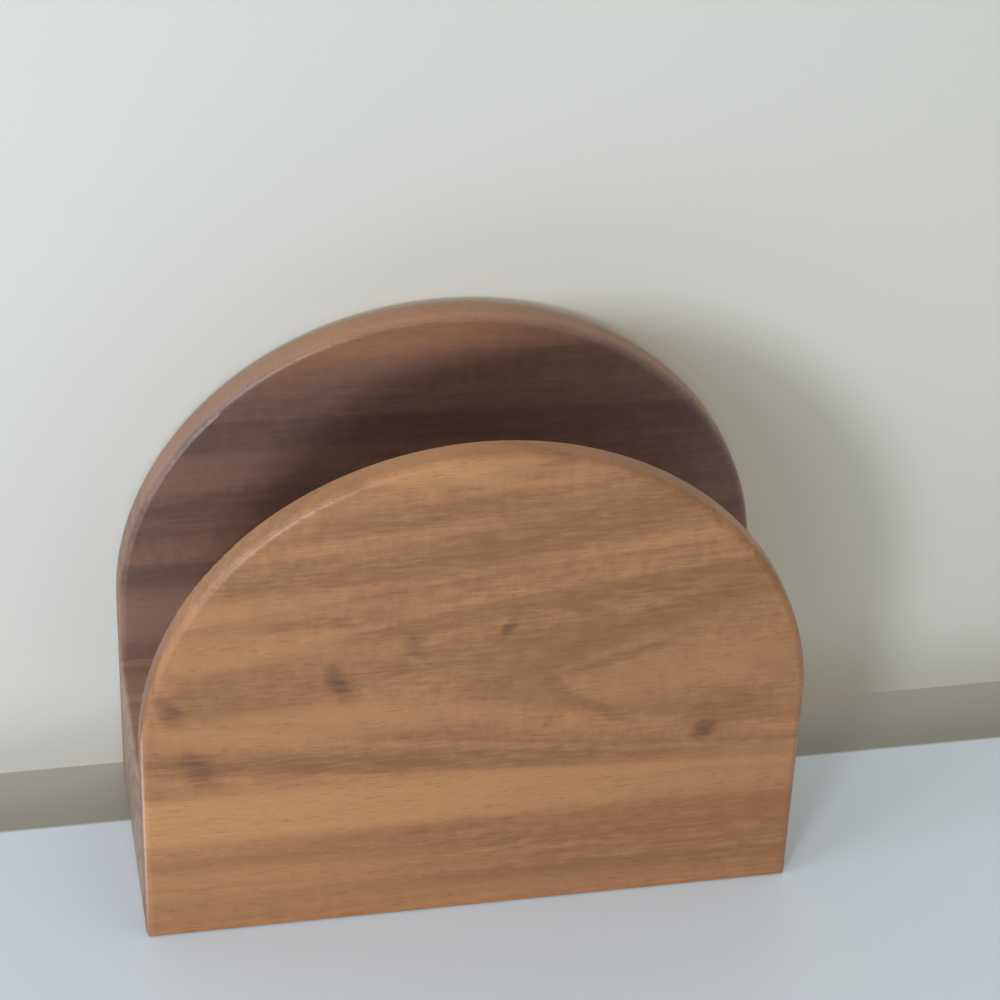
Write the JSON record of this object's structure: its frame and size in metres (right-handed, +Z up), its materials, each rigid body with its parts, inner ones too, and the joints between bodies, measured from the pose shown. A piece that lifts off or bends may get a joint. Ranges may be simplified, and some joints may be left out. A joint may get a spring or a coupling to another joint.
{
  "type": "napkin holder",
  "caption": "Wooden napkin holder: two half-round arched panels stand upright on a solid block, with an open slot between them for folded napkins.",
  "frame": {"origin": "middle of the foot, on the table", "axes": "+X along the panels to the right as seen from the front, +Y from the front panel to the rear panel, +Z up from the table"},
  "size_m": [0.15, 0.061, 0.128],
  "materials": {
    "walnut_panel": "oiled walnut, satin, grain running from side to side",
    "walnut_block": "oiled walnut, satin, end grain at both ends",
    "beech_dowel": "bare beech, fluted, hidden in the glued joints"
  },
  "bodies": {
    "root": {"front_panel": "walnut_panel", "rear_panel": "walnut_panel", "base_block": "walnut_block", "front_dowel_left": "beech_dowel", "front_dowel_middle": "beech_dowel", "front_dowel_right": "beech_dowel", "rear_dowel_left": "beech_dowel", "rear_dowel_middle": "beech_dowel", "rear_dowel_right": "beech_dowel"}
  },
  "joints": []
}
